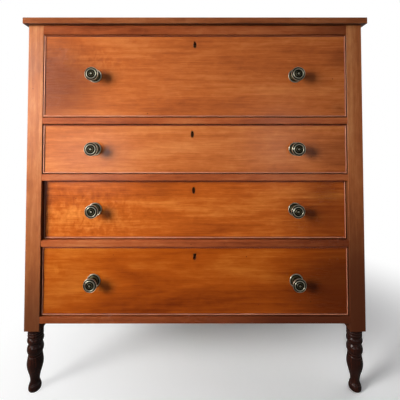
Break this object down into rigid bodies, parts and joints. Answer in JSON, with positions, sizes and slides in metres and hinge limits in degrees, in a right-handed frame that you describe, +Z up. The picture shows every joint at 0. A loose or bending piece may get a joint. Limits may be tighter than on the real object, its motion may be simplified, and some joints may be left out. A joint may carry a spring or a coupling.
{
  "type": "chest of drawers",
  "caption": "Chest with graduated cock-beaded drawers that slide on wooden runners, round brass knobs, half-mortise locks, panelled sides and turned feet.",
  "frame": {"origin": "on the floor under the middle of the chest's box", "axes": "+Z up, the drawer fronts face -Y, +X to the right of someone facing them"},
  "size_m": [1.037, 0.524, 1.123],
  "materials": {
    "cherry_case": "worn shellac",
    "cherry_post": "worn shellac",
    "cherry_front": "worn shellac",
    "bead_wood": "worn shellac",
    "poplar": "bare, aged",
    "tarnished_brass": "tarnished",
    "lock_brass": "aged",
    "lock_bolt_iron": "worn"
  },
  "bodies": {
    "case": {"back_boards": "poplar", "back_rail_bottom": "poplar", "back_rail_top": "poplar", "bottom_rail_front": "cherry_case", "divider_rail_lower": "cherry_case", "divider_rail_middle": "cherry_case", "divider_rail_upper": "cherry_case", "drawer_guides": "poplar", "drawer_runners": "poplar", "drawer_stops": "poplar", "post_back_left": "cherry_post", "post_back_right": "cherry_post", "post_front_left": "cherry_post", "post_front_right": "cherry_post", "side_panel_left": "cherry_case", "side_panel_right": "cherry_case", "top_board": "cherry_case", "top_kickers": "poplar", "top_rail_front": "cherry_case"},
    "drawer_1": {"drawer_1_back": "poplar", "drawer_1_bottom": "poplar", "drawer_1_cock_beads": "bead_wood", "drawer_1_front": "cherry_front", "drawer_1_knobs": "tarnished_brass", "drawer_1_lock": "lock_brass", "drawer_1_rosettes": "tarnished_brass", "drawer_1_side_left": "poplar", "drawer_1_side_right": "poplar"},
    "lock_bolt_1": {"drawer_1_lock_bolt": "lock_bolt_iron"},
    "drawer_2": {"drawer_2_back": "poplar", "drawer_2_bottom": "poplar", "drawer_2_cock_beads": "bead_wood", "drawer_2_front": "cherry_front", "drawer_2_knobs": "tarnished_brass", "drawer_2_lock": "lock_brass", "drawer_2_rosettes": "tarnished_brass", "drawer_2_side_left": "poplar", "drawer_2_side_right": "poplar"},
    "lock_bolt_2": {"drawer_2_lock_bolt": "lock_bolt_iron"},
    "drawer_3": {"drawer_3_back": "poplar", "drawer_3_bottom": "poplar", "drawer_3_cock_beads": "bead_wood", "drawer_3_front": "cherry_front", "drawer_3_knobs": "tarnished_brass", "drawer_3_lock": "lock_brass", "drawer_3_rosettes": "tarnished_brass", "drawer_3_side_left": "poplar", "drawer_3_side_right": "poplar"},
    "lock_bolt_3": {"drawer_3_lock_bolt": "lock_bolt_iron"},
    "drawer_4": {"drawer_4_back": "poplar", "drawer_4_bottom": "poplar", "drawer_4_cock_beads": "bead_wood", "drawer_4_front": "cherry_front", "drawer_4_knobs": "tarnished_brass", "drawer_4_lock": "lock_brass", "drawer_4_rosettes": "tarnished_brass", "drawer_4_side_left": "poplar", "drawer_4_side_right": "poplar"},
    "lock_bolt_4": {"drawer_4_lock_bolt": "lock_bolt_iron"}
  },
  "joints": [
    {"name": "drawer_1_slide", "type": "slide", "parent": "case", "child": "drawer_1", "axis": [0, -1, 0], "range_m": [0, 0.36]},
    {"name": "lock_bolt_1_slide", "type": "slide", "parent": "drawer_1", "child": "lock_bolt_1", "axis": [0, 0, 1], "range_m": [0, 0.008]},
    {"name": "drawer_2_slide", "type": "slide", "parent": "case", "child": "drawer_2", "axis": [0, -1, 0], "range_m": [0, 0.36]},
    {"name": "lock_bolt_2_slide", "type": "slide", "parent": "drawer_2", "child": "lock_bolt_2", "axis": [0, 0, 1], "range_m": [0, 0.008]},
    {"name": "drawer_3_slide", "type": "slide", "parent": "case", "child": "drawer_3", "axis": [0, -1, 0], "range_m": [0, 0.36]},
    {"name": "lock_bolt_3_slide", "type": "slide", "parent": "drawer_3", "child": "lock_bolt_3", "axis": [0, 0, 1], "range_m": [0, 0.008]},
    {"name": "drawer_4_slide", "type": "slide", "parent": "case", "child": "drawer_4", "axis": [0, -1, 0], "range_m": [0, 0.36]},
    {"name": "lock_bolt_4_slide", "type": "slide", "parent": "drawer_4", "child": "lock_bolt_4", "axis": [0, 0, 1], "range_m": [0, 0.008]}
  ]
}
